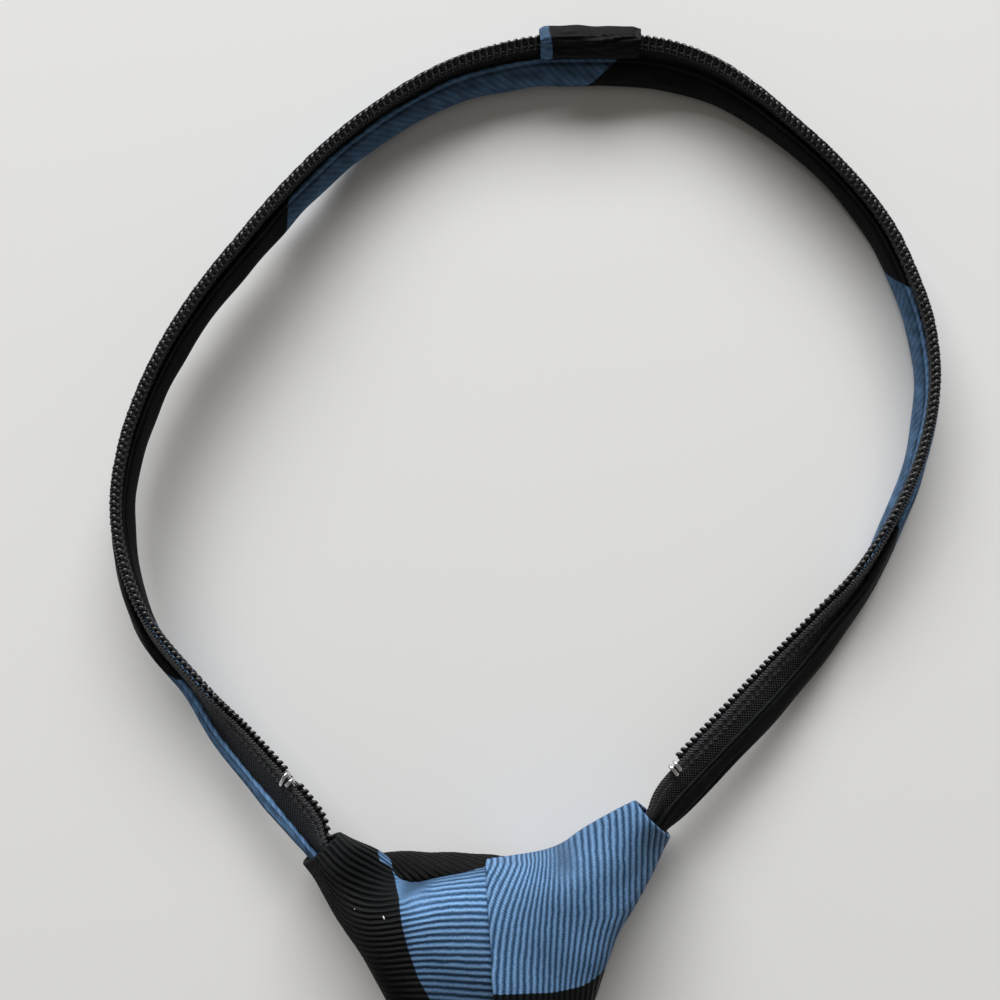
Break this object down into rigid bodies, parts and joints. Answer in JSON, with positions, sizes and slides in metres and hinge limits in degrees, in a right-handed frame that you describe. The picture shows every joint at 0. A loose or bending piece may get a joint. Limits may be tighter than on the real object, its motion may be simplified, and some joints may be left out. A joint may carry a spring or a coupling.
{
  "type": "zipper tie",
  "caption": "Pre-tied necktie with a zip in its neck band: folded cloth straps with zip tapes and coils, an adjustable knot and a pointed blade, lying flat.",
  "frame": {"origin": "middle of the knot's flat back, on the surface that the tie lies on", "axes": "+Y from the blade's tip to the back of the neck, +Z out of the surface towards the front of the knot, +X to the wearer's left"},
  "size_m": [0.1558, 0.6122, 0.0206],
  "materials": {
    "black_cloth": "ribbed weave, soft sheen",
    "striped_cloth": "ribbed weave in blue and black stripes, soft sheen",
    "tape": "woven, matt",
    "coil": "glossy nylon",
    "steel": "bright, slightly brushed"
  },
  "bodies": {
    "root": {"strap_cloth_left": "striped_cloth", "strap_cloth_right": "striped_cloth", "zip_tape_left": "tape", "zip_tape_right": "tape", "zip_coil_left": "coil", "zip_coil_left_end": "coil", "zip_coil_right": "coil", "zip_stop_left": "steel", "zip_stop_right": "steel", "join_cover": "black_cloth", "knot_left_wing": "striped_cloth", "knot_right_wing": "striped_cloth", "knot_back_band": "black_cloth", "zip_slider": "steel", "blade": "striped_cloth"}
  },
  "joints": []
}
